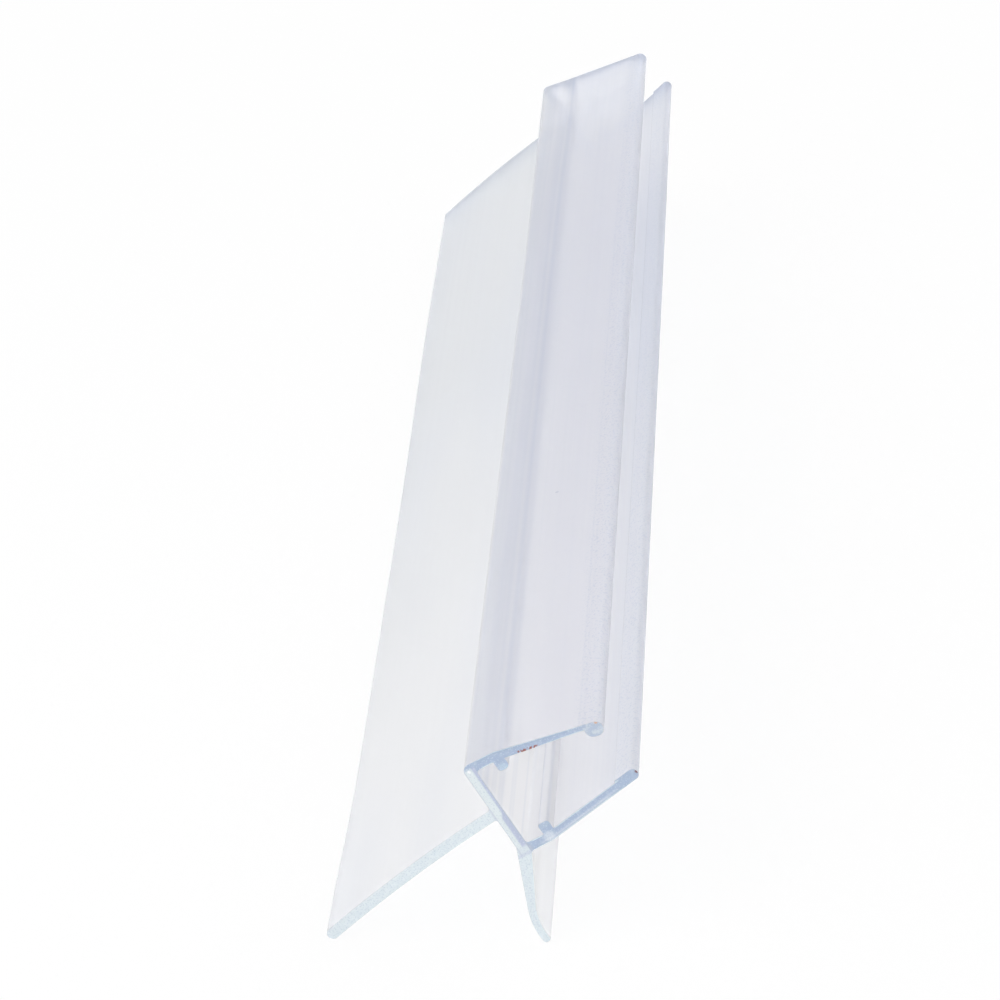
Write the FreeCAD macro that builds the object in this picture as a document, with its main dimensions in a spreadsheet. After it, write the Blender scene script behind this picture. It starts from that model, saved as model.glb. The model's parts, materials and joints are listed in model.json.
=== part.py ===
import FreeCAD, Part
import math
import os

import Sketcher
from FreeCAD import Placement, Rotation, Vector

# Shower door seal strip, one clear PVC extrusion cut to length.
# The section is drawn in the channel's own frame: x points out of the slot that grips
# the glass, with 0 on the inner face of the web, and y runs along the web, with 0 in the
# middle of the slot. The strip runs along Y. At the end the body is turned so that it
# lies as it does on a table, on the tips of its two fins.

# Every size in millimetres or degrees, with its place in the strip.
SIZES = [
    ("strip_length", 200.0, "length of the cut strip"),
    ("slot_width", 10.0, "between the jaws at the web, for 3/8 in (10 mm) glass"),
    ("web_wall", 1.3, "web at the bottom of the slot"),
    ("root_wall", 1.17, "straight roots of both jaws"),
    ("root_length", 2.6, "web to the bend of each jaw"),
    ("corner_round", 0.9, "outer corner of the web and the upper jaw"),
    ("slot_round", 0.35, "inner corners of the slot"),
    ("upper_reach", 14.3, "web to the end of the upper jaw"),
    ("upper_lean", 11.4, "upper jaw, inward past its bend, degrees"),
    ("upper_tip_wall", 0.7, "upper jaw beside its bead"),
    ("upper_bead_radius", 0.88, "bead of the upper jaw"),
    ("upper_bead_length", 0.3, "straight part of the upper bead"),
    ("lower_reach", 14.6, "web to the end of the lower jaw"),
    ("lower_lean", 9.8, "lower jaw, inward past its bend, degrees"),
    ("lower_tip_wall", 1.1, "lower jaw beside its bead"),
    ("lower_bead_radius", 0.66, "bead of the lower jaw"),
    ("lower_bead_length", 1.6, "straight part of the lower bead"),
    ("stop_place", 2.05, "web to each glass stop"),
    ("stop_width", 1.35, "glass stop along the jaw"),
    ("stop_height", 1.3, "glass stop, inward from the jaw"),
    ("stop_round", 0.38, "free corners of the glass stops"),
    ("stop_lead_round", 0.6, "corner of the upper stop that faces the mouth"),
    ("long_fin_wall", 1.36, "long fin"),
    ("long_fin_offset", 0.32, "root of the long fin below the middle of the web"),
    ("long_fin_lean", 5.7, "long fin at its root, degrees below the web's normal"),
    ("long_fin_bend", 180.0, "radius of the long fin's gentle droop"),
    ("long_fin_length", 22.95, "long fin from the web to the middle of its round tip"),
    ("fin_root_round", 0.3, "corners where the fins leave the channel"),
    ("curved_fin_root", 1.24, "curved fin where it leaves the channel"),
    ("curved_fin_lean", 22.5, "straight part of the curved fin, degrees from the web"),
    ("curved_fin_straight", 7.6, "straight part of the curved fin"),
    ("curved_fin_bend", 9.1, "radius of the curved fin's outer face"),
    ("curved_fin_sweep", 27.0, "turn of the curved fin's end, degrees"),
    ("curved_fin_tip_wall", 0.9, "curved fin along its bend and tip"),
]

# Points of a sketch element, as the sketcher counts them.
START, END, CENTRE = 1, 2, 3
ORIGIN = (-1, 1)
SLOT_BASE_AXIS = -2

doc = FreeCAD.newDocument("seal_strip_model")
sheet = doc.addObject("Spreadsheet::Sheet", "sizes")
for row, (alias, value, meaning) in enumerate(SIZES, start=1):
    sheet.set(f"A{row}", alias)
    sheet.set(f"B{row}", str(value))
    sheet.set(f"C{row}", meaning)
    sheet.setAlias(f"B{row}", alias)
doc.recompute()

body = doc.addObject("PartDesign::Body", "seal_strip")
body.Label = "seal_strip"
section_plane = next(
    plane for plane in body.Origin.OriginFeatures if plane.Role == "XZ_Plane"
)


def size(formula):
    """Value of a formula of the sheet's sizes, in millimetres or degrees."""
    result = sheet.evalExpression(formula)
    return float(getattr(result, "Value", result))


def section_sketch(name):
    sketch = body.newObject("Sketcher::SketchObject", name)
    sketch.AttachmentSupport = [(section_plane, "")]
    sketch.MapMode = "FlatFace"
    return sketch


def line(sketch, start, end):
    return sketch.addGeometry(Part.LineSegment(Vector(*start, 0), Vector(*end, 0)))


def arc(sketch, centre, radius, first_degrees, last_degrees):
    """Arc drawn anticlockwise from the first direction to the last."""
    circle = Part.Circle(Vector(*centre, 0), Vector(0, 0, 1), radius)
    first = math.radians(first_degrees)
    last = math.radians(last_degrees)
    return sketch.addGeometry(Part.ArcOfCircle(circle, first, last))


def hold(sketch, kind, *where):
    sketch.addConstraint(Sketcher.Constraint(kind, *where))


def dimension(sketch, formula, kind, *where):
    """Dimension of the sketch that stays bound to the sheet."""
    value = size(formula)
    if kind == "Angle":
        value = math.radians(value)
        formula = f"({formula}) * 1deg"
    index = sketch.addConstraint(Sketcher.Constraint(kind, *where, value))
    sketch.setExpression(f"Constraints[{index}]", formula)


def place(sketch, element, point, across, along):
    """Dimension a point from the slot's middle at the web: across is x, along is y."""
    for kind, formula in (("DistanceX", across), ("DistanceY", along)):
        if size(formula) < 0:
            dimension(sketch, f"-({formula})", kind, element, point, *ORIGIN)
        else:
            dimension(sketch, formula, kind, *ORIGIN, element, point)


def extrude(sketch, name):
    """Extrude the sketch along the strip, half its length to each side."""
    doc.recompute()
    pad = body.newObject("PartDesign::Pad", name)
    pad.Profile = sketch
    pad.Midplane = True
    pad.setExpression("Length", "sizes.strip_length")
    sketch.Visibility = False
    doc.recompute()


def polar(origin, degrees, distance):
    angle = math.radians(degrees)
    return (
        origin[0] + distance * math.cos(angle),
        origin[1] + distance * math.sin(angle),
    )


# Channel: the web and the straight roots of the two jaws, one C-shaped outline.
HALF_SLOT = "sizes.slot_width / 2"
OUTER_FACE = "(sizes.slot_width / 2 + sizes.root_wall)"

channel = section_sketch("channel_section")
half_slot = size(HALF_SLOT)
outer_face = size(OUTER_FACE)
web = size("sizes.web_wall")
root = size("sizes.root_length")
corners = [
    (root, half_slot),
    (root, outer_face),
    (-web, outer_face),
    (-web, -outer_face),
    (root, -outer_face),
    (root, -half_slot),
    (0.0, -half_slot),
    (0.0, half_slot),
]
sides = [
    line(channel, corner, corners[(number + 1) % len(corners)])
    for number, corner in enumerate(corners)
]
for number, side in enumerate(sides):
    hold(channel, "Coincident", side, END, sides[(number + 1) % len(sides)], START)
    hold(channel, "Horizontal" if number % 2 else "Vertical", side)
hold(channel, "PointOnObject", sides[6], START, SLOT_BASE_AXIS)
dimension(channel, HALF_SLOT, "DistanceY", *ORIGIN, sides[7], START)
dimension(channel, HALF_SLOT, "DistanceY", sides[6], START, *ORIGIN)
dimension(channel, "sizes.root_wall", "DistanceY", sides[0], START, sides[0], END)
dimension(channel, "sizes.root_wall", "DistanceY", sides[4], START, sides[4], END)
dimension(channel, "sizes.root_length", "DistanceX", *ORIGIN, sides[0], START)
dimension(channel, "sizes.root_length", "DistanceX", *ORIGIN, sides[4], START)
dimension(channel, "sizes.web_wall", "DistanceX", sides[2], START, *ORIGIN)
extrude(channel, "channel")


def jaw(which, up):
    """One jaw past its bend: a blade that leans inward and ends in a round bead.

    up is 1 for the upper jaw and -1 for the lower one.
    """
    sketch = section_sketch(f"{which}_jaw_section")
    lean = size(f"sizes.{which}_lean")
    radius = size(f"sizes.{which}_bead_radius")
    bead = size(f"sizes.{which}_bead_length")
    wall = size(f"sizes.{which}_tip_wall")
    inward = -up * lean
    outward = inward + 90 * up
    inner_root = (root, up * half_slot)
    outer_root = (root, up * outer_face)
    tip_x = size(f"sizes.{which}_reach") - radius
    run = tip_x + radius * math.cos(math.radians(outward)) - root
    outer_end = polar(outer_root, inward, run / math.cos(math.radians(lean)))
    tip = polar(outer_end, outward, -radius)
    back = polar(tip, inward, -bead)
    drop = max(-0.99, min(0.99, (radius - wall) / radius))
    seat = outward + up * math.degrees(math.acos(drop))
    blade_end = polar(back, seat, radius)
    bead_end = polar(back, outward, -radius)

    outer = line(sketch, outer_root, outer_end)
    inner = line(sketch, blade_end, inner_root)
    flat = line(sketch, polar(tip, outward, -radius), bead_end)
    close = line(sketch, inner_root, outer_root)
    if up > 0:
        nose = arc(sketch, tip, radius, outward - 180, outward)
        heel = arc(sketch, back, radius, seat, outward + 180)
        nose_outer, nose_inner = END, START
        heel_blade, heel_flat = START, END
    else:
        nose = arc(sketch, tip, radius, outward, outward + 180)
        heel = arc(sketch, back, radius, outward - 180, seat)
        nose_outer, nose_inner = START, END
        heel_blade, heel_flat = END, START

    hold(sketch, "Tangent", outer, END, nose, nose_outer)
    hold(sketch, "Tangent", flat, START, nose, nose_inner)
    hold(sketch, "Tangent", flat, END, heel, heel_flat)
    hold(sketch, "Coincident", inner, START, heel, heel_blade)
    hold(sketch, "Coincident", inner, END, close, START)
    hold(sketch, "Coincident", close, END, outer, START)
    hold(sketch, "Vertical", close)
    hold(sketch, "Parallel", flat, outer)
    hold(sketch, "Equal", nose, heel)
    sign = "" if up > 0 else "-"
    place(sketch, close, START, "sizes.root_length", f"{sign}{HALF_SLOT}")
    dimension(sketch, "sizes.root_wall", "Distance", close)
    dimension(sketch, f"{'-' if up > 0 else ''}sizes.{which}_lean", "Angle", outer)
    dimension(sketch, f"sizes.{which}_bead_radius", "Radius", nose)
    dimension(sketch, f"sizes.{which}_bead_length", "Distance", flat)
    dimension(sketch, f"sizes.{which}_tip_wall", "Distance", heel, heel_blade, outer)
    dimension(
        sketch,
        f"sizes.{which}_reach - sizes.{which}_bead_radius",
        "DistanceX",
        *ORIGIN,
        nose,
        CENTRE,
    )
    extrude(sketch, f"{which}_jaw")


jaw("upper", 1)
jaw("lower", -1)

# Glass stops: two small nubs at the bends that keep the glass edge off the web.
stops = section_sketch("glass_stop_section")
stop_start = size("sizes.stop_place")
stop_end = size("sizes.stop_place + sizes.stop_width")
for up in (1, -1):
    stop_root = up * size(f"{HALF_SLOT} + sizes.root_wall / 2")
    stop_tip = up * size(f"{HALF_SLOT} - sizes.stop_height")
    left = line(stops, (stop_start, stop_root), (stop_start, stop_tip))
    end = line(stops, (stop_start, stop_tip), (stop_end, stop_tip))
    right = line(stops, (stop_end, stop_tip), (stop_end, stop_root))
    base = line(stops, (stop_end, stop_root), (stop_start, stop_root))
    for first, second in ((left, end), (end, right), (right, base), (base, left)):
        hold(stops, "Coincident", first, END, second, START)
    hold(stops, "Vertical", left)
    hold(stops, "Vertical", right)
    hold(stops, "Horizontal", end)
    hold(stops, "Horizontal", base)
    sign = "" if up > 0 else "-"
    place(stops, left, START, "sizes.stop_place", f"{sign}({HALF_SLOT} + sizes.root_wall / 2)")
    dimension(stops, "sizes.stop_width", "Distance", end)
    dimension(stops, "sizes.stop_height + sizes.root_wall / 2", "Distance", left)
extrude(stops, "glass_stops")

# Long fin: an even wall that leaves the middle of the web, droops along a wide arc and
# ends round. Both faces are arcs about one centre below the fin.
long_fin = section_sketch("long_fin_section")
fin_root = (-size("sizes.web_wall / 2"), -size("sizes.long_fin_offset"))
fin_wall = size("sizes.long_fin_wall")
fin_lean = size("sizes.long_fin_lean")
fin_bend = size("sizes.long_fin_bend")
FIN_RUN = "(sizes.long_fin_length + sizes.web_wall / 2)"
FIN_TURN = f"({FIN_RUN} / sizes.long_fin_bend * 180 / pi)"
fin_turn = size(FIN_TURN)
fin_centre = polar(fin_root, fin_lean - 90, fin_bend)
root_direction = 90 + fin_lean
tip_direction = root_direction + fin_turn
fin_tip = polar(fin_centre, tip_direction, fin_bend)
top = arc(long_fin, fin_centre, fin_bend + fin_wall / 2, root_direction, tip_direction)
under = arc(long_fin, fin_centre, fin_bend - fin_wall / 2, root_direction, tip_direction)
end = arc(long_fin, fin_tip, fin_wall / 2, tip_direction, tip_direction + 180)
base = line(
    long_fin,
    polar(fin_root, root_direction, -fin_wall / 2),
    polar(fin_root, root_direction, fin_wall / 2),
)
spine = line(long_fin, fin_root, fin_centre)
long_fin.setConstruction(spine, True)
hold(long_fin, "Tangent", top, END, end, START)
hold(long_fin, "Tangent", under, END, end, END)
hold(long_fin, "Coincident", base, START, under, START)
hold(long_fin, "Coincident", base, END, top, START)
hold(long_fin, "Coincident", top, CENTRE, under, CENTRE)
hold(long_fin, "Coincident", spine, END, top, CENTRE)
hold(long_fin, "Symmetric", base, START, base, END, spine, START)
place(long_fin, spine, START, "-sizes.web_wall / 2", "-sizes.long_fin_offset")
dimension(long_fin, "sizes.long_fin_lean - 90", "Angle", spine)
dimension(long_fin, "sizes.long_fin_bend", "Distance", spine)
dimension(long_fin, "sizes.long_fin_bend + sizes.long_fin_wall / 2", "Radius", top)
dimension(long_fin, FIN_TURN, "Angle", top)
extrude(long_fin, "long_fin")

# Curved fin: it grows out of the outer corner of the web and the lower jaw, thins along
# a straight run and turns back under the channel with an even wall and a round tip.
curved_fin = section_sketch("curved_fin_section")
lean = size("sizes.curved_fin_lean")
bend = size("sizes.curved_fin_bend")
sweep = size("sizes.curved_fin_sweep")
tip_wall = size("sizes.curved_fin_tip_wall")
outer_start = (-web, -half_slot)
inner_start = (size("sizes.curved_fin_root - sizes.web_wall"), -outer_face)
outer_turn = polar(outer_start, -90 - lean, size("sizes.curved_fin_straight"))
bend_centre = polar(outer_turn, -lean, bend)
inner_bend = bend - tip_wall
tip_direction = 180 - lean + sweep
tip_centre = polar(bend_centre, tip_direction, bend - tip_wall / 2)
towards_centre = (bend_centre[0] - inner_start[0], bend_centre[1] - inner_start[1])
centre_distance = math.hypot(*towards_centre)
touch_direction = math.degrees(
    math.atan2(-towards_centre[1], -towards_centre[0])
    + math.acos(inner_bend / centre_distance)
)
inner_turn = polar(bend_centre, touch_direction, inner_bend)
outer_line = line(curved_fin, outer_start, outer_turn)
outer_arc = arc(curved_fin, bend_centre, bend, 180 - lean, tip_direction)
inner_line = line(curved_fin, inner_start, inner_turn)
inner_arc = arc(curved_fin, bend_centre, inner_bend, touch_direction, tip_direction)
tip = arc(curved_fin, tip_centre, tip_wall / 2, tip_direction, tip_direction - 180)
base = line(curved_fin, inner_start, outer_start)
hold(curved_fin, "Tangent", outer_line, END, outer_arc, START)
hold(curved_fin, "Tangent", inner_line, END, inner_arc, START)
hold(curved_fin, "Tangent", outer_arc, END, tip, START)
hold(curved_fin, "Tangent", inner_arc, END, tip, END)
hold(curved_fin, "Coincident", outer_arc, CENTRE, inner_arc, CENTRE)
hold(curved_fin, "Coincident", base, END, outer_line, START)
hold(curved_fin, "Coincident", base, START, inner_line, START)
place(curved_fin, base, END, "-sizes.web_wall", f"-{HALF_SLOT}")
place(curved_fin, base, START, "sizes.curved_fin_root - sizes.web_wall", f"-{OUTER_FACE}")
dimension(curved_fin, "-90 - sizes.curved_fin_lean", "Angle", outer_line)
dimension(curved_fin, "sizes.curved_fin_straight", "Distance", outer_line)
dimension(curved_fin, "sizes.curved_fin_bend", "Radius", outer_arc)
dimension(curved_fin, "sizes.curved_fin_sweep", "Angle", outer_arc)
dimension(curved_fin, "sizes.curved_fin_tip_wall / 2", "Radius", tip)
extrude(curved_fin, "curved_fin")


def lengthwise_edges(points):
    """The body's straight edges along the strip that pass through section points."""
    found = []
    for number, edge in enumerate(body.Tip.Shape.Edges, start=1):
        start, end = edge.firstVertex().Point, edge.lastVertex().Point
        if abs(start.y - end.y) < 1:
            continue
        if any(math.hypot(start.x - x, start.z - z) < 0.01 for x, z in points):
            found.append(f"Edge{number}")
    if len(found) != len(points):
        raise ValueError(f"{len(found)} edges found for {len(points)} corners")
    return body.Tip, found


def round_corners(name, radius, points):
    edges = lengthwise_edges(points)
    fillet = body.newObject("PartDesign::Fillet", name)
    fillet.Base = edges
    fillet.setExpression("Radius", radius)
    doc.recompute()


round_corners("outer_corner", "sizes.corner_round", [(-web, outer_face)])
round_corners("slot_corners", "sizes.slot_round", [(0, half_slot), (0, -half_slot)])
stop_tip = size(f"{HALF_SLOT} - sizes.stop_height")
round_corners(
    "glass_stop_tips",
    "min(sizes.stop_round; sizes.stop_width * 0.45)",
    [(stop_start, stop_tip), (stop_start, -stop_tip), (stop_end, -stop_tip)],
)
round_corners(
    "glass_stop_lead",
    "min(sizes.stop_lead_round; sizes.stop_width * 0.45)",
    [(stop_end, stop_tip)],
)

# Corners where the fins leave the channel: both faces of the long fin on the web, and
# the curved fin under the lower jaw.
fin_roots = []
for face_radius in (fin_bend + fin_wall / 2, fin_bend - fin_wall / 2):
    rise = math.sqrt(face_radius ** 2 - (fin_centre[0] + web) ** 2)
    fin_roots.append((-web, fin_centre[1] + rise))
round_corners("fin_roots", "sizes.fin_root_round", [*fin_roots, inner_start])

# At rest both round fin tips touch the table. Turning the section by this angle brings
# the lowest points of the two tip arcs to one height.
tip_gap = math.dist(fin_tip, tip_centre)
tip_slope = math.atan2(tip_centre[1] - fin_tip[1], tip_centre[0] - fin_tip[0])
rest_angle = math.asin((tip_wall - fin_wall) / 2 / tip_gap) - tip_slope
body.Placement = Placement(Vector(), Rotation(Vector(0, 1, 0), -math.degrees(rest_angle)))
doc.recompute()
box = body.Shape.optimalBoundingBox(False)
middle = Vector((box.XMin + box.XMax) / 2, (box.YMin + box.YMax) / 2, box.ZMin)
body.Placement = Placement(-middle, body.Placement.Rotation)
doc.recompute()

for item in doc.Objects:
    if {"Invalid", "Error"} & set(item.State):
        raise RuntimeError(f"{item.Label} could not be built: {item.State}")
if body.Shape.isNull() or not body.Shape.isValid() or len(body.Shape.Solids) != 1:
    raise RuntimeError("the strip is not one valid solid")

os.makedirs("parts", exist_ok=True)
body.Shape.exportStep(f"parts/{body.Label}.step")
print(f"rest angle {math.degrees(rest_angle):.2f} degrees, volume {body.Shape.Volume:.0f} mm3")
print(f"{body.Shape.optimalBoundingBox(False)}, centre of mass {body.Shape.Solids[0].CenterOfMass}")
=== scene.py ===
import json
import math

import bmesh
import bpy
from mathutils import Euler, Matrix, Vector


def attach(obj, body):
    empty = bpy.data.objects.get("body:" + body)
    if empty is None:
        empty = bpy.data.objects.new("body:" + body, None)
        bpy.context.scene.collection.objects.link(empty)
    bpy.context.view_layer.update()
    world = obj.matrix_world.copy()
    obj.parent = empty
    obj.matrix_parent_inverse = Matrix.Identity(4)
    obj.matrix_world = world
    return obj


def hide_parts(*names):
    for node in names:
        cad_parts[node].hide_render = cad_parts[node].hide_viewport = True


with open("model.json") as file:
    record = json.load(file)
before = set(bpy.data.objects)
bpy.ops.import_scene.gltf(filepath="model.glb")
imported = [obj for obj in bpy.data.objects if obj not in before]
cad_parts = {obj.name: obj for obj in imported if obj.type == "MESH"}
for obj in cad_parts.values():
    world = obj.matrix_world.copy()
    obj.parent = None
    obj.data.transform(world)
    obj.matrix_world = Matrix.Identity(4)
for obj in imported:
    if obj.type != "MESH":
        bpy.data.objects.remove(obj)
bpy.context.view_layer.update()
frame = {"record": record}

# Channel: the firm part of a clear PVC extrusion, a web with two jaws that lean in and
# grip the edge of a glass door. It is pushed through the die in one piece with the fins,
# so it is modelled first and the fins are drawn out of its faces.
# Section sizes are in millimetres in the slot's own frame: x points out of the slot with
# 0 on the web, z runs across the slot with 0 in its middle, y runs along the strip.
MM = 0.001
STRIP_LENGTH = 200.0
SLOT = 10.0
WEB_WALL = 1.3
ROOT_WALL = 1.17
ROOT_LENGTH = 2.6
HALF = SLOT / 2
OUTER = HALF + ROOT_WALL
UPPER_LEAN = 11.4
LOWER_LEAN = 9.8
STOP_HEIGHT = 1.3
STOP_START = 2.05
STOP_END = STOP_START + 1.35
STOP_FACE = HALF - STOP_HEIGHT


def near(value, target, slack=0.02):
    return abs(value - target) < slack


def choose(kind, test):
    """Select what passes the test in the open mesh: VERT by place, EDGE lengthwise by its
    two section coordinates, FACE by middle and normal, all in millimetres."""
    bpy.ops.mesh.select_mode(type=kind)
    bpy.ops.mesh.select_all(action="DESELECT")
    mesh = bmesh.from_edit_mesh(bpy.context.object.data)
    if kind == "VERT":
        chosen = [v for v in mesh.verts if test(*(v.co / MM))]
    elif kind == "FACE":
        chosen = [f for f in mesh.faces if test(f.calc_center_median() / MM, f.normal)]
    else:
        chosen = []
        for edge in mesh.edges:
            a, b = (v.co / MM for v in edge.verts)
            if abs(a.y - b.y) > 0.5 and abs(a.x - b.x) < 0.02 and abs(a.z - b.z) < 0.02:
                if test(a.x, a.z):
                    chosen.append(edge)
    if not chosen:
        raise RuntimeError(f"no {kind.lower()} found")
    for item in chosen:
        item.select_set(True)
    bmesh.update_edit_mesh(bpy.context.object.data)


def move(x=0.0, y=0.0, z=0.0):
    bpy.ops.transform.translate(value=(x * MM, y * MM, z * MM))


def grow(low, high):
    """Extrude the chosen end of a wall so that its two long edges come to these section
    points. low takes the edge with the smaller x + z."""
    bpy.ops.mesh.extrude_region_move(TRANSFORM_OT_translate={"value": (0, 0, 0)})
    mesh = bmesh.from_edit_mesh(bpy.context.object.data)
    ends = sorted((v for v in mesh.verts if v.select), key=lambda v: v.co.x + v.co.z)
    places = [(v.index, v.co.x / MM, v.co.z / MM) for v in ends]
    half = len(places) // 2
    face = [index for index, _, _ in places]
    for group, target in ((places[:half], low), (places[half:], high)):
        bpy.ops.mesh.select_all(action="DESELECT")
        bpy.ops.mesh.select_mode(type="VERT")
        mesh = bmesh.from_edit_mesh(bpy.context.object.data)
        mesh.verts.ensure_lookup_table()
        for index, _, _ in group:
            mesh.verts[index].select_set(True)
        bmesh.update_edit_mesh(bpy.context.object.data)
        move(x=target[0] - group[0][1], z=target[1] - group[0][2])
    mesh = bmesh.from_edit_mesh(bpy.context.object.data)
    mesh.verts.ensure_lookup_table()
    for index in face:
        mesh.verts[index].select_set(True)
    mesh.select_flush(True)
    bmesh.update_edit_mesh(bpy.context.object.data)
    bpy.ops.mesh.select_mode(type="FACE")


def cut(place, direction):
    """Cut the chosen faces by a plane, in millimetres."""
    bpy.ops.mesh.bisect(
        plane_co=[c * MM for c in place], plane_no=direction, threshold=1e-7
    )


def polar(centre, degrees, radius):
    angle = math.radians(degrees)
    return (
        centre[0] + radius * math.cos(angle),
        centre[1] + radius * math.sin(angle),
    )


bpy.ops.object.select_all(action="DESELECT")
bpy.ops.mesh.primitive_cube_add(
    size=1,
    location=(-WEB_WALL / 2 * MM, 0, 0),
    scale=(WEB_WALL * MM, STRIP_LENGTH * MM, 2 * OUTER * MM),
)
bpy.ops.object.transform_apply(location=True, rotation=False, scale=True)
strip = bpy.context.object
strip.name = "door_seal"
strip.data.name = "door_seal"
bpy.ops.object.mode_set(mode="EDIT")

# The web is cut across at both inner corners of the slot and where the two faces of the
# long fin, arcs about one centre far below it, leave the web.
LONG_FIN_WALL = 1.36
LONG_FIN_OFFSET = 0.32
LONG_FIN_LEAN = 5.7
LONG_FIN_BEND = 180.0
LONG_FIN_LENGTH = 22.95

long_fin_centre = polar((-WEB_WALL / 2, -LONG_FIN_OFFSET), LONG_FIN_LEAN - 90, LONG_FIN_BEND)
centre_run = long_fin_centre[0] + WEB_WALL
foot_under, foot_top = (
    long_fin_centre[1] + math.sqrt(radius ** 2 - centre_run ** 2)
    for radius in (LONG_FIN_BEND - LONG_FIN_WALL / 2, LONG_FIN_BEND + LONG_FIN_WALL / 2)
)
for height in (HALF, -HALF, foot_top, foot_under):
    bpy.ops.mesh.select_all(action="SELECT")
    cut((0, 0, height), (0, 0, 1))

# Each jaw is drawn straight out of the web, with a bead at its end, then turned inward
# about its bend. stop_wall, wall and bead are thicknesses from the outer face; stop_edge,
# heel and nose are distances past the bend.
HEEL_STEP = 0.02
ALMOST = 0.998
for up, lean, stop_edge, stop_wall, wall, heel, bead, nose, heel_round in (
    (1, UPPER_LEAN, 1.05, 1.11, 0.70, 10.04, 1.76, 12.095, 0.86),
    (-1, LOWER_LEAN, 1.014, 1.148, 1.10, 9.53, 1.32, 12.282, 0.21),
):
    choose("FACE", lambda c, n: n.x > 0.9 and c.z * up > HALF)

    def reach(x, thickness):
        inner, outer = (x, up * (OUTER - thickness)), (x, up * OUTER)
        grow(*((inner, outer) if up > 0 else (outer, inner)))

    heel_x = ROOT_LENGTH + heel + HEEL_STEP
    nose_x = ROOT_LENGTH + nose
    bead_z = up * (OUTER - bead)
    reach(STOP_START, ROOT_WALL)
    reach(ROOT_LENGTH, ROOT_WALL)
    reach(ROOT_LENGTH + stop_edge, stop_wall)
    reach(ROOT_LENGTH + heel, wall)
    reach(heel_x, bead)
    reach(nose_x, bead)
    choose(
        "EDGE",
        lambda x, z: near(x, nose_x) and (near(z, up * OUTER) or near(z, bead_z)),
    )
    bpy.ops.mesh.bevel(offset=bead / 2 * ALMOST * MM, segments=8, affect="EDGES")
    choose("EDGE", lambda x, z: near(x, heel_x, HEEL_STEP / 2) and near(z, bead_z))
    bpy.ops.mesh.bevel(offset=heel_round * MM, segments=6, affect="EDGES")
    choose("VERT", lambda x, y, z: x > ROOT_LENGTH + 0.1 and z * up > 0)
    bpy.ops.transform.rotate(
        value=-up * math.radians(lean),
        orient_axis="Y",
        center_override=(ROOT_LENGTH * MM, 0, up * OUTER * MM),
    )
    # Glass stop: the nub across the bend that keeps the glass edge off the web.
    choose(
        "FACE",
        lambda c, n: n.z * up < -0.9
        and STOP_START < c.x < STOP_END
        and c.z * up > STOP_FACE,
    )
    bpy.ops.mesh.extrude_region_move(
        TRANSFORM_OT_translate={"value": (0, 0, -up * STOP_HEIGHT * MM)}
    )
    bpy.ops.transform.resize(
        value=(1, 1, 0), center_override=(0, 0, up * STOP_FACE * MM)
    )


# Long fin: the soft wiping blade, of the same extrusion in a softer PVC, fused to the
# middle of the web. It keeps one thickness, droops along a wide arc and ends round. Its
# arc runs on through half a wall, for the round of its tip.
def round_tip(centre, degrees, outer_radius, wall, segments):
    """Round the two long edges at the end of a fin that was spun about centre."""
    tips = [polar(centre, degrees, radius) for radius in (outer_radius, outer_radius - wall)]
    choose("EDGE", lambda x, z: any(near(x, t[0]) and near(z, t[1]) for t in tips))
    bpy.ops.mesh.bevel(offset=wall / 2 * ALMOST * MM, segments=segments, affect="EDGES")


def sweep(centre, degrees):
    bpy.ops.mesh.spin(
        steps=12,
        angle=math.radians(degrees),
        center=(centre[0] * MM, 0, centre[1] * MM),
        axis=(0, 1, 0),
    )


half_wall = LONG_FIN_WALL / 2
root_turn = 90 + LONG_FIN_LEAN
foot_turn = root_turn + 0.5
tip_turn = root_turn + math.degrees(
    (LONG_FIN_LENGTH + WEB_WALL / 2 + half_wall - 0.01) / LONG_FIN_BEND
)
choose("FACE", lambda c, n: n.x < -0.9 and foot_under < c.z < foot_top)
grow(
    polar(long_fin_centre, foot_turn, LONG_FIN_BEND - half_wall),
    polar(long_fin_centre, foot_turn, LONG_FIN_BEND + half_wall),
)
sweep(long_fin_centre, tip_turn - foot_turn)
round_tip(long_fin_centre, tip_turn, LONG_FIN_BEND + half_wall, LONG_FIN_WALL, 7)

# Curved fin: the short soft lip of the same softer PVC, drawn out of the corner of the web
# and the lower jaw. It thins along a straight run and turns back under the channel.
CURVED_FIN_ROOT = 1.24
CURVED_FIN_WALL = 0.9
CURVED_FIN_LEAN = 22.5
CURVED_FIN_STRAIGHT = 7.6
CURVED_FIN_BEND = 9.1
CURVED_FIN_SWEEP = 27.0

inner_foot = CURVED_FIN_ROOT - WEB_WALL
bend_start = polar((-WEB_WALL, -HALF), -90 - CURVED_FIN_LEAN, CURVED_FIN_STRAIGHT)
curved_fin_centre = polar(bend_start, -CURVED_FIN_LEAN, CURVED_FIN_BEND)
start_turn = 180 - CURVED_FIN_LEAN
middle = CURVED_FIN_BEND - CURVED_FIN_WALL / 2
tip_turn = start_turn + CURVED_FIN_SWEEP + math.degrees((CURVED_FIN_WALL / 2 - 0.02) / middle)
choose("FACE", lambda c, n: n.z < -0.9 and c.x < 0 and near(c.z, -OUTER))
cut((inner_foot, 0, 0), (1, 0, 0))
choose("VERT", lambda x, y, z: near(x, -WEB_WALL) and near(z, -OUTER))
move(x=-ROOT_WALL * math.tan(math.radians(CURVED_FIN_LEAN)))
choose("FACE", lambda c, n: n.z < -0.9 and c.x < inner_foot and near(c.z, -OUTER))
grow(
    polar(curved_fin_centre, start_turn, CURVED_FIN_BEND),
    polar(curved_fin_centre, start_turn, CURVED_FIN_BEND - CURVED_FIN_WALL),
)
sweep(curved_fin_centre, tip_turn - start_turn)
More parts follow.
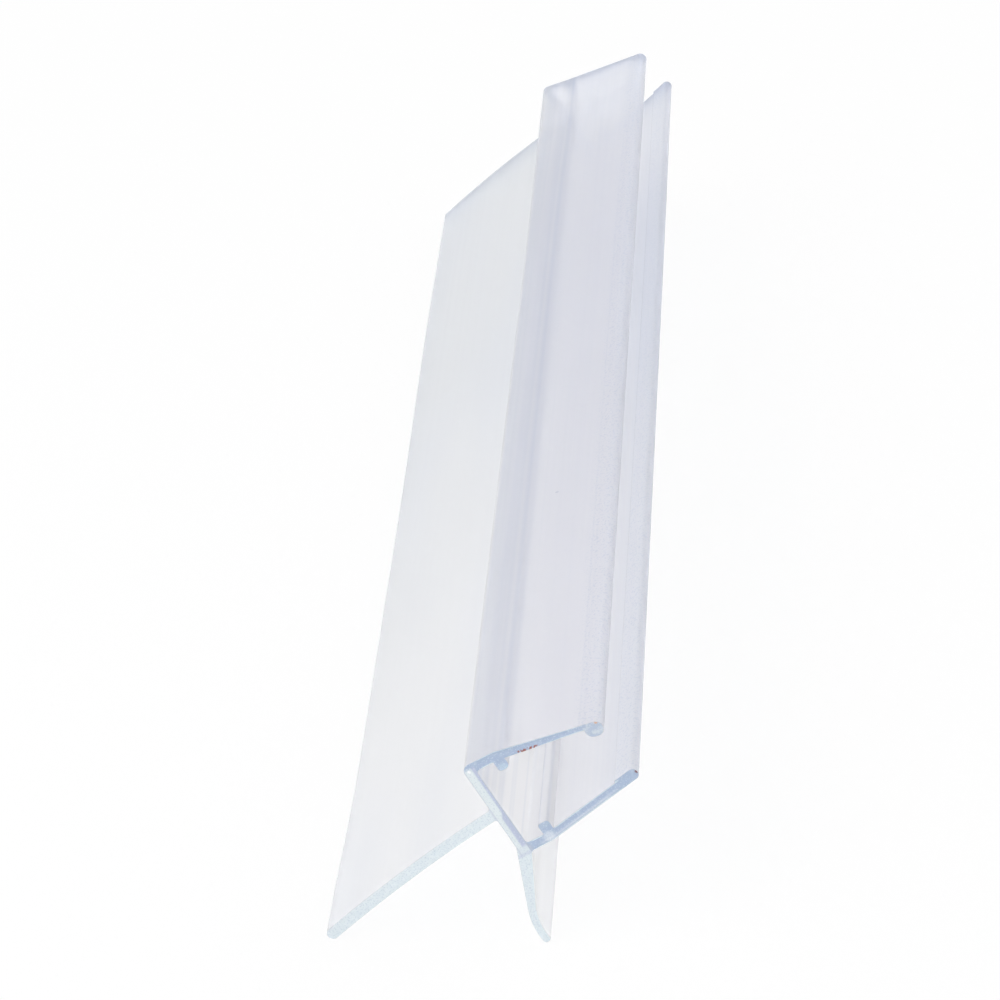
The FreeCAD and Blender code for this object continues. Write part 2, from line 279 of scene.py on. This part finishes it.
round_tip(curved_fin_centre, tip_turn, CURVED_FIN_BEND, CURVED_FIN_WALL, 6)

# Faces in one plane become one face, so that each sawn end is a single face.
bpy.ops.mesh.select_all(action="SELECT")
bpy.ops.mesh.remove_doubles(threshold=0.03 * MM)
bpy.ops.mesh.dissolve_limited(angle_limit=math.radians(0.2))

# Corners that the die leaves rounded: the outer corner over the upper jaw, the inside
# corners of the slot, the tips of the glass stops and the feet of both fins.
for radius, segments, corners in (
    (0.9, 6, ((-WEB_WALL, OUTER),)),
    (0.35, 4, ((0, HALF), (0, -HALF))),
    (0.38, 4, ((STOP_START, STOP_FACE), (STOP_START, -STOP_FACE), (STOP_END, -STOP_FACE))),
    (0.6, 5, ((STOP_END, STOP_FACE),)),
    (0.3, 4, ((-WEB_WALL, foot_top), (-WEB_WALL, foot_under))),
    (0.3, 4, ((inner_foot, -OUTER),)),
):
    choose("EDGE", lambda x, z: any(near(x, a, 0.05) and near(z, b, 0.05) for a, b in corners))
    bpy.ops.mesh.bevel(offset=radius * MM, segments=segments, affect="EDGES")


# The strip is not quite even from end to end. The far ends of the jaws are pinched by the
# cut, which also flattens the bend of the upper jaw, and the long fin waves a little.
def row(y, test):
    choose("VERT", lambda vx, vy, vz: near(vy, y, 0.05) and test(vx, vz))


def turn(pivot, degrees):
    bpy.ops.transform.rotate(
        value=math.radians(degrees),
        orient_axis="Y",
        center_override=(pivot[0] * MM, 0, pivot[1] * MM),
    )


def eased(y, start, end):
    share = min(1.0, max(0.0, (y - start) / (end - start)))
    return share * share * (3 - 2 * share)


def between(y, stops):
    for (y0, a), (y1, b) in zip(stops, stops[1:]):
        if y <= y1:
            return a + (b - a) * eased(y, y0, y1)
    return stops[-1][1]


rows = [*range(-90, 60, 10), *range(60, 100, 5)]
for y in rows:
    bpy.ops.mesh.select_all(action="SELECT")
    cut((0, y, 0), (0, 1, 0))

# The wave is the lift of the long fin's edge at places along the strip. A lifted fin is
# also a little shorter. The pinch grows from its start to the far end.
FAR_END = STRIP_LENGTH / 2
FIN_WAVE = ((-100, 0.0), (-66, 0.36), (-10, 0.3), (70, 0.0), (100, 0.0))
FIN_LEVER = 24.0
FIN_SHORTENING = 1.2 / 23.6
FIN_FOOT = (-WEB_WALL, -0.4)
PINCH_START = 40
PINCH_IN = 0.5
PINCH_DOWN = 0.27
ROOT_TURN = -10.5
BLADE_TURN = 12.4
LOWER_TURN = 2.56
LOWER_STRETCH = 0.038
CORNER_HEIGHT = 5.6
for y in (*rows, FAR_END):
    wave = between(y, FIN_WAVE)
    if wave:
        row(y, lambda x, z: x < -1.45 and z > -5.2)
        turn(FIN_FOOT, math.degrees(wave / FIN_LEVER))
        shorter = 1 - FIN_SHORTENING * wave
        bpy.ops.transform.resize(
            value=(shorter, 1, shorter),
            center_override=(FIN_FOOT[0] * MM, 0, FIN_FOOT[1] * MM),
        )
    pinch = eased(y, PINCH_START, FAR_END)
    if pinch:
        # The upper jaw and its corner move in, the root turns down about the corner, and
        # the blade turns back up about the bend.
        row(y, lambda x, z: z > 4.5 or (x > 0.3 and z > -1.5))
        move(x=-PINCH_IN * pinch, z=-PINCH_DOWN * pinch)
        corner = (-WEB_WALL / 2 - PINCH_IN * pinch, CORNER_HEIGHT - PINCH_DOWN * pinch)
        row(y, lambda x, z: x > -0.2 and z > -1.5)
        turn(corner, ROOT_TURN * pinch)
        angle = math.radians(ROOT_TURN * pinch)
        along = ROOT_LENGTH + WEB_WALL / 2
        across = OUTER - CORNER_HEIGHT
        bend = (
            corner[0] + along * math.cos(angle) - across * math.sin(angle),
            corner[1] + along * math.sin(angle) + across * math.cos(angle),
        )
        row(y, lambda x, z: x > 2.45 and z > -1.5)
        turn(bend, BLADE_TURN * pinch)
        # The lower jaw closes and reaches a little further.
        row(y, lambda x, z: x > 2.7 and z < -1.5)
        turn((ROOT_LENGTH, -OUTER), LOWER_TURN * pinch)
        stretch = 1 + LOWER_STRETCH * pinch
        bpy.ops.transform.resize(
            value=(stretch, 1, stretch),
            center_override=(ROOT_LENGTH * MM, 0, -OUTER * MM),
        )

# The saw leaves a tiny arris round both ends.
choose("FACE", lambda c, n: abs(n.y) > 0.9)
bpy.ops.mesh.region_to_loop()
ARRIS = 0.04
bpy.ops.mesh.bevel(offset=ARRIS * MM, segments=1, affect="EDGES")

# The strip lies on a table on the tips of its two fins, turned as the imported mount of
# the glass slot says.
slot = next(m for m in frame["record"]["mounts"] if m["name"] == "glass_slot")
rest_turn = math.atan2(slot["axis"][2], slot["axis"][0])
bpy.ops.mesh.select_all(action="SELECT")
bpy.ops.transform.rotate(value=rest_turn, orient_axis="Y", center_override=(0, 0, 0))
bpy.ops.transform.translate(value=slot["pos_m"])
bpy.ops.mesh.normals_make_consistent(inside=False)
bpy.ops.object.mode_set(mode="OBJECT")
bpy.ops.object.shade_smooth_by_angle(angle=math.radians(35))


# Finish of the long faces: clear, slightly milky PVC. Part of the light goes straight
# through and the rest is softened on its way. Where the plastic is deep under the surface,
# at the bends, stops and beads, it looks bluer, and the die leaves fine lines. Painted
# shade greys the strip towards the far end and adds to the blue on the blades and on the
# far flank of the upper bead.
def open_material(name):
    """Start a material of the strip. The helpers below add nodes to the open tree."""
    material = bpy.data.materials.new(name)
    material.use_nodes = True
    strip.data.materials.append(material)
    return material.node_tree


def add(kind, inputs, **settings):
    """Add a node to the open material, its inputs fed with plain values or sockets."""
    made = tree.nodes.new("ShaderNode" + kind)
    for name, value in settings.items():
        setattr(made, name, value)
    for socket, value in inputs.items():
        if isinstance(value, bpy.types.NodeSocket):
            tree.links.new(value, made.inputs[socket])
        else:
            made.inputs[socket].default_value = value
    return made


def section_place():
    """Places in millimetres in the slot's own frame."""
    return add(
        "Mapping",
        {
            "Vector": add("TexCoord", {}).outputs["Object"],
            "Location": slot["pos_m"],
            "Rotation": (0, -rest_turn, 0),
            "Scale": (MM, MM, MM),
        },
        vector_type="TEXTURE",
    ).outputs[0]


def maths(operation, first, second=0.0):
    return add("Math", {0: first, 1: second}, operation=operation).outputs[0]


def times(*factors):
    product = factors[0]
    for factor in factors[1:]:
        product = maths("MULTIPLY", product, factor)
    return product


def fade(value, none, full):
    """0 up to none, 1 from full on, smooth between them."""
    return add(
        "MapRange",
        {"Value": value, "From Min": none, "From Max": full},
        interpolation_type="SMOOTHSTEP",
    ).outputs[0]


def mix(share, first, second):
    return add(
        "Mix", {"Factor": share, 6: first, 7: second}, data_type="RGBA"
    ).outputs[2]


def bands(value, stops):
    """Grey values between 0 and 1 at places along value."""
    low, high = stops[0][0], stops[-1][0]
    share = add(
        "MapRange", {"Value": value, "From Min": low, "From Max": high}
    ).outputs[0]
    ramp = add("ValToRGB", {0: share})
    elements = ramp.color_ramp.elements
    for number, (stop, grey) in enumerate(stops):
        position = (stop - low) / (high - low)
        if number < 2:
            elements[number].position = position
        else:
            elements.new(position)
    for element, (_, grey) in zip(elements, stops):
        element.color = (grey, grey, grey, 1)
    return ramp.outputs[0]


def noise(stretch, detail=1.0):
    """Noise of about one bump per stretched millimetre."""
    spread = add(
        "VectorMath", {0: place, 1: stretch}, operation="MULTIPLY"
    ).outputs[0]
    return add("TexNoise", {"Vector": spread, "Scale": 1.0, "Detail": detail}).outputs[0]


def spot(x, z, radius, up_is=None):
    """A round spot in the section, or seen from above when up_is is at_y."""
    across = maths("SUBTRACT", at_x, x)
    up = maths("SUBTRACT", up_is or at_z, z)
    distance = maths("SQRT", maths("ADD", times(across, across), times(up, up)))
    return fade(distance, radius, radius * 0.4)


def crumbs():
    """Rusty saw crumbs stuck under the upper jaw at the near end."""
    grain = fade(noise((3.6, 3.6, 3.6)), 0.46, 0.52)
    under = maths(
        "ADD", times(maths("SUBTRACT", at_x, 2.6), 0.166), maths("SUBTRACT", at_z, 5.07)
    )
    return times(
        grain,
        fade(at_y, -99.3, -99.6),
        fade(at_x, 4.8, 5.1),
        fade(at_x, 7.4, 6.9),
        fade(maths("ABSOLUTE", under), 0.34, 0.2),
    )


tree = open_material("clear_pvc")
place = section_place()
at_x, at_y, at_z = add("SeparateXYZ", {0: place}).outputs
shader = tree.nodes["Principled BSDF"]
# The far colours are the near ones under painted shade.
MILKY_NEAR = (0.95, 0.95, 1.0, 1)
MILKY_FAR_SHADED = (0.88, 0.89, 0.96, 1)
SOFT_NEAR = (0.96, 0.97, 1.0, 1)
SOFT_FAR_SHADED = (0.77, 0.80, 0.85, 1)
# The deep blue also takes the painted shade of the blades and the upper bead.
DEEP_AND_SHADE = (0.66, 0.72, 0.88, 1)
WHITE = (1.0, 1.0, 1.0, 1)
FLECK = (0.35, 0.42, 0.58, 1)
CRUMB = (0.32, 0.09, 0.07, 1)

# How deep each jaw looks, from the web to its end. The last stops, darker on the far
# flank of the upper bead, are painted shade.
upper = bands(
    at_x,
    (
        (-1.4, 0.0), (-0.9, 0.0), (-0.35, 0.38), (0.5, 0.35), (1.2, 0.08), (2.2, 0.2),
        (2.45, 0.3), (2.78, 0.4), (2.98, 0.22), (3.15, 0.18), (3.35, 0.45),
        (3.6, 0.58), (3.8, 0.4), (4.0, 0.12), (4.4, 0.04), (5.0, 0.0), (11.9, 0.0),
        (12.1, 0.22), (12.3, 0.04), (12.6, 0.12), (13.0, 0.0), (13.9, 0.04),
        (14.2, 0.25), (14.6, 0.35),
    ),
)
lower = bands(
    at_x,
    (
        (-1.4, 0.0), (1.8, 0.0), (2.1, 0.06), (3.4, 0.06), (3.6, 0.0), (4.6, 0.1),
        (8.5, 0.15), (10.5, 0.3), (12.4, 0.42), (14.2, 0.42), (14.6, 0.6),
    ),
)
is_upper = fade(at_z, -0.5, 0.5)
is_lower = fade(at_z, 0.5, -0.5)
depth_and_shade = add("Mix", {0: is_upper, 2: lower, 3: upper}, data_type="FLOAT").outputs[0]

# Lines that the die leaves along the strip, strongest inside the slot.
die_lines = noise((2.6, 0.012, 2.6), 2.0)
broad_lines = noise((1.3, 0.008, 1.1))
inside = times(
    fade(at_x, -0.4, -0.1),
    fade(at_x, 4.2, 3.0),
    fade(maths("ABSOLUTE", at_z), 5.3, 5.0),
)
line_depth = maths(
    "ADD",
    times(maths("SUBTRACT", die_lines, 0.5), 0.3),
    times(maths("SUBTRACT", broad_lines, 0.48), maths("ADD", 0.2, times(inside, 3.0))),
)

# A frosty grain on both beads, and painted shade on the upper blade at the far end and on
# the lower blade beyond the middle.
frost = times(
    fade(noise((4.2, 3.0, 4.2), 2.0), 0.53, 0.64), fade(at_x, 10.8, 12.8), 0.65
)
far_blade_shade = times(is_upper, fade(at_x, 3.6, 5.0), fade(at_y, 62, 92), 0.42)
lower_blade_shade = times(
    is_lower, fade(at_x, 7.0, 10.0), fade(at_y, -30, 30), fade(at_y, 80, 50), 0.3
)
blade_shade = maths("ADD", far_blade_shade, lower_blade_shade)
depth_and_shade = maths("ADD", maths("ADD", depth_and_shade, line_depth), maths("ADD", frost, blade_shade))

# Painted shade greys the channel towards the far end, except at the far roots of the
# jaws, and a painted highlight whitens the rounded outer corner and the outer face of the
# web towards the near end.
along = fade(at_y, -95, 60)
far_root = times(fade(at_y, 50, 85), fade(at_x, 2.4, 1.2))
firm_far_shade = times(along, maths("SUBTRACT", 1.0, times(far_root, 0.8)))
firm = mix(depth_and_shade, mix(firm_far_shade, MILKY_NEAR, MILKY_FAR_SHADED), DEEP_AND_SHADE)
# Painted highlight: the rounded outer corner and the outer face of the web are whitened, most
# at the near end.
firm = mix(times(fade(at_x, -0.6, -0.95), fade(at_y, 80, -20)), firm, WHITE)

# The soft fins are paler, with faint clouds, and grey towards the far end with the same
# painted shade.
fin_zone = maths("MAXIMUM", fade(at_x, -1.3, -1.5), fade(at_z, -6.15, -6.35))
fin_cloud = noise((0.12, 0.02, 0.12), 0.0)
soft = mix(
    times(maths("ADD", fade(fin_cloud, 0.35, 0.75), line_depth), 0.2),
    mix(along, SOFT_NEAR, SOFT_FAR_SHADED),
    DEEP_AND_SHADE,
)
colour = mix(fin_zone, firm, soft)

# One dark fleck on the upper jaw, and the crumbs of the saw.
fleck = times(spot(7.24, -41.3, 0.3, at_y), is_upper)
colour = mix(times(fleck, 0.5), colour, FLECK)
colour = mix(crumbs(), colour, CRUMB)
tree.links.new(colour, shader.inputs["Base Color"])
rough = add("MapRange", {"Value": broad_lines, "To Min": 0.27, "To Max": 0.37}).outputs[0]
tree.links.new(rough, shader.inputs["Roughness"])
bump = add("Bump", {"Strength": 0.12, "Distance": 0.0001, "Height": die_lines}).outputs[0]
tree.links.new(bump, shader.inputs["Normal"])
shader.inputs["IOR"].default_value = 1.17
shader.inputs["Transmission Weight"].default_value = 0.85
shader.inputs["Alpha"].default_value = 0.6

# Finish of the sawn ends: looking along the strip the firm channel is deep blue and the
# soft fins stay pale. The web is pale outside and blue along the slot.
tree = open_material("sawn_pvc")
place = section_place()
at_x, at_y, at_z = add("SeparateXYZ", {0: place}).outputs
shader = tree.nodes["Principled BSDF"]
BLUE = (0.385, 0.485, 0.66, 1)
BLUE_MOTTLE = (0.47, 0.565, 0.71, 1)
BEAD_BLUE = (0.47, 0.55, 0.68, 1)
BEAD_PALE = (0.64, 0.70, 0.77, 1)
PALE_BLUE = (0.76, 0.80, 0.88, 1)
DARK_LINE = (0.36, 0.47, 0.60, 1)
ARRIS_HIGHLIGHT = (0.78, 0.87, 0.90, 1)
ROOT_PALE = (0.80, 0.85, 0.91, 1)
UPPER_STOP = (0.50, 0.62, 0.76, 1)
LOWER_STOP = (0.44, 0.54, 0.69, 1)
LAVENDER = (0.50, 0.55, 0.71, 1)
WEB_PALE = (0.75, 0.82, 0.85, 1)
WEB_FOOT = (0.70, 0.77, 0.83, 1)
WEB_INNER_LINE = (0.44, 0.50, 0.62, 1)
WEB_OUTER_LINE = (0.62, 0.68, 0.76, 1)
GLINT = (0.93, 0.96, 0.98, 1)
FIN_END = (0.72, 0.80, 0.85, 1)
FIN_MOTTLE = (0.765, 0.84, 0.88, 1)
LIGHT_SPECK = (0.80, 0.85, 0.90, 1)
DARK_SPECK = (0.38, 0.46, 0.60, 1)
DARK_STAIN = (0.20, 0.09, 0.10, 1)
RUSTY_STAIN = (0.68, 0.42, 0.30, 1)
FAR_CUT = (0.86, 0.88, 0.93, 1)
mottle = noise((1.6, 1.6, 1.6), 2.0)
speck = noise((5.5, 5.5, 5.5))


def depth_from(up, degrees):
    """Depth under the outer face of a jaw, before and past its bend."""
    lean = math.radians(degrees)
    rise = times(maths("SUBTRACT", OUTER * up, at_z), up)
    run = maths("SUBTRACT", at_x, ROOT_LENGTH)
    leaned = maths("SUBTRACT", times(rise, math.cos(lean)), times(run, math.sin(lean)))
    return maths("MINIMUM", rise, leaned)


under_upper = depth_from(1, UPPER_LEAN)
under_lower = depth_from(-1, LOWER_LEAN)
is_upper = fade(at_z, -0.5, 0.5)
is_lower = fade(at_z, -0.5, -1.5)

# The jaws: mottled blue, paler at the upper bead and along the outside of the lower jaw.
colour = mix(fade(mottle, 0.45, 0.75), BLUE, BLUE_MOTTLE)
bead_colour = mix(fade(mottle, 0.42, 0.62), BEAD_BLUE, BEAD_PALE)
colour = mix(times(is_upper, fade(at_x, 11.4, 12.8), 0.85), colour, bead_colour)
outer_part = times(
    is_lower,
    fade(under_lower, 0.62, 0.3),
    fade(at_x, 0.8, 2.4),
    fade(at_x, 12.4, 10.0),
)
colour = mix(times(outer_part, 0.55), colour, PALE_BLUE)

# Each jaw has a painted highlight along both faces of its cut and a dark line under the
# outer face. The inner highlight leaves out the glass stop.
upper_wall = maths("SUBTRACT", 1.16, times(fade(at_x, 3.6, 12.4), 0.44))
for under, half_is, wall in (
    (under_upper, is_upper, upper_wall),
    (under_lower, is_lower, 1.13),
):
    jaw_zone = times(half_is, fade(at_x, 0.3, 0.9), fade(at_x, 12.6, 11.8))
    dark = times(fade(under, 0.12, 0.17), fade(under, 0.34, 0.22), jaw_zone)
    colour = mix(times(dark, 0.5), colour, DARK_LINE)
    inner_gap = maths("SUBTRACT", wall, under)
    off_stop = fade(maths("ABSOLUTE", maths("SUBTRACT", at_x, 2.75)), 0.7, 0.95)
    inner_arris_highlight = times(
        fade(inner_gap, 0.16, 0.08), fade(inner_gap, -0.12, -0.02), off_stop
    )
    # Painted highlight on the arrises of the cut, near the outer face and the inner face.
    arris_highlight = maths("MAXIMUM", fade(under, 0.13, 0.06), inner_arris_highlight)
    colour = mix(times(arris_highlight, jaw_zone, 0.8), colour, ARRIS_HIGHLIGHT)
colour = mix(times(spot(2.5, -5.5, 0.85), 0.6), colour, ROOT_PALE)
colour = mix(spot(2.72, 3.95, 0.75), colour, UPPER_STOP)
colour = mix(spot(2.72, -3.95, 0.75), colour, LOWER_STOP)

# The web: pale outside, blue along the slot, with a dark line on both faces and a glint
# in the rounded corner.
web_face = times(fade(at_x, 0.12, -0.02), fade(at_z, 5.9, 5.3))
low_corner = times(fade(at_x, 0.55, -0.1), fade(at_z, -5.0, -5.5))
web_zone = maths("MAXIMUM", web_face, low_corner)
edge = add(
    "Mix", {0: fade(at_z, -0.4, -1.4), 2: 0.95, 3: 0.62}, data_type="FLOAT"
).outputs[0]
across = maths("SUBTRACT", maths("ADD", at_x, WEB_WALL), edge)
web = mix(fade(across, -0.12, 0.1), WEB_PALE, LAVENDER)
web = mix(fade(at_z, -4.9, -5.5), web, WEB_FOOT)
inner_face = times(fade(at_x, -0.2, -0.08), fade(at_z, 4.4, 3.0))
web = mix(inner_face, web, WEB_INNER_LINE)
web = mix(fade(at_x, -1.12, -1.25), web, WEB_OUTER_LINE)
colour = mix(web_zone, colour, web)
colour = mix(spot(-0.75, 5.3, 0.26), colour, GLINT)

# The fins, and a faint line where the curved fin is fused to the channel.
fin_zone = maths("MAXIMUM", fade(at_x, -1.3, -1.5), fade(at_z, -6.0, -6.4))
colour = mix(fin_zone, colour, mix(fade(mottle, 0.4, 0.7), FIN_END, FIN_MOTTLE))
joint_line = times(fade(at_z, -6.5, -6.2), fade(at_z, -5.8, -6.1), fade(at_x, 0.4, 0.0))
colour = mix(times(joint_line, 0.4), colour, LAVENDER)

# Marks of the saw: light and dark specks, a stain on each bead of the near end, and the
# crumbs. The far cut is paler.
colour = mix(times(fade(speck, 0.58, 0.68), 0.4), colour, LIGHT_SPECK)
colour = mix(times(fade(speck, 0.44, 0.36), 0.3), colour, DARK_SPECK)
near_half = fade(at_y, 0, -50)
colour = mix(times(spot(14.55, -3.4, 0.32), near_half), colour, DARK_STAIN)
colour = mix(times(spot(13.85, 3.75, 0.25), near_half), colour, RUSTY_STAIN)
colour = mix(times(fade(at_y, 0, 50), 0.75), colour, FAR_CUT)
colour = mix(crumbs(), colour, CRUMB)
tree.links.new(colour, shader.inputs["Base Color"])
saw = noise((1.2, 1.0, 9.0))
bump = add("Bump", {"Strength": 0.25, "Distance": 0.0001, "Height": saw}).outputs[0]
tree.links.new(bump, shader.inputs["Normal"])
shader.inputs["Roughness"].default_value = 0.45
shader.inputs["IOR"].default_value = 1.53
shader.inputs["Transmission Weight"].default_value = 0.1

bpy.ops.object.mode_set(mode="EDIT")
choose("FACE", lambda c, n: abs(n.y) > 0.9)
strip.active_material_index = 1
bpy.ops.object.material_slot_assign()
bpy.ops.object.mode_set(mode="OBJECT")

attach(strip, "root")
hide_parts("seal_strip")

# Floor: a plain white table that keeps the strip's faint shadow. Where the camera sees
# it, also through the plastic, it mostly glows, so that the background stays white.
FLOOR_GLOW = 0.88


def seen_rays():
    """1 for rays from the camera, straight, mirrored or through the plastic."""
    rays = add("LightPath", {}).outputs
    mirrored = maths("MAXIMUM", rays["Is Camera Ray"], rays["Is Glossy Ray"])
    return maths("MAXIMUM", mirrored, rays["Is Transmission Ray"])


bpy.ops.object.select_all(action="DESELECT")
bpy.ops.mesh.primitive_plane_add(size=8, location=(0, 0, -0.0001))
table = bpy.context.object
table.name = "table"
paper = bpy.data.materials.new("white_table")
paper.use_nodes = True
table.data.materials.append(paper)
tree = paper.node_tree
matt = tree.nodes["Principled BSDF"]
matt.inputs["Base Color"].default_value = (0.9, 0.9, 0.9, 1)
matt.inputs["Roughness"].default_value = 0.9
glow = add("Emission", {"Color": WHITE})
surface = add(
    "MixShader",
    {"Fac": times(seen_rays(), FLOOR_GLOW), 1: matt.outputs[0], 2: glow.outputs[0]},
)
tree.links.new(surface.outputs[0], tree.nodes["Material Output"].inputs["Surface"])

# Soft studio light: a white room, dimmer than it looks to the camera, and three lamps.
ROOM_LIGHT = 0.75
world = bpy.data.worlds.new("studio")
bpy.context.scene.world = world
world.use_nodes = True
tree = world.node_tree
room = tree.nodes["Background"]
room.inputs["Color"].default_value = WHITE
room.inputs["Strength"].default_value = ROOM_LIGHT
white = add("Background", {"Color": WHITE, "Strength": 1.0})
backdrop = add(
    "MixShader", {"Fac": seen_rays(), 1: room.outputs[0], 2: white.outputs[0]}
)
tree.links.new(backdrop.outputs[0], tree.nodes["World Output"].inputs["Surface"])

for name, stand, size, watts in (
    ("left_softbox", (-0.9, -0.5, 0.9), 0.9, 5.0),
    ("right_softbox", (0.8, 0.3, 1.0), 0.8, 3.0),
    ("near_softbox", (-0.3, -0.42, 0.3), 0.25, 0.35),
):
    bpy.ops.object.light_add(type="AREA", location=stand)
    lamp = bpy.context.object
    lamp.name = name
    lamp.data.size = size
    lamp.data.energy = watts
    lamp.rotation_euler = (-Vector(stand)).to_track_quat("-Z", "Y").to_euler()

# Camera at the photograph's place: a long lens, from above the near cut end. The angles
# are degrees down, to the left and rolled.
CAMERA_PLACE = (0.02651, -0.50103, 0.25017)
CAMERA_DOWN, CAMERA_LEFT, CAMERA_ROLL = 26.184, 3.407, -0.938
bpy.ops.object.camera_add(location=CAMERA_PLACE)
camera = bpy.context.object
camera.name = "camera"
camera.data.sensor_width = 36.0
camera.data.lens = 158.58
camera.data.clip_start = 0.01
view = Euler((math.radians(90 - CAMERA_DOWN), 0, math.radians(CAMERA_LEFT))).to_matrix()
roll = Matrix.Rotation(math.radians(CAMERA_ROLL), 3, "Z")
camera.rotation_euler = (view @ roll).to_euler()
bpy.context.scene.camera = camera
bpy.context.scene.view_settings.view_transform = "Standard"
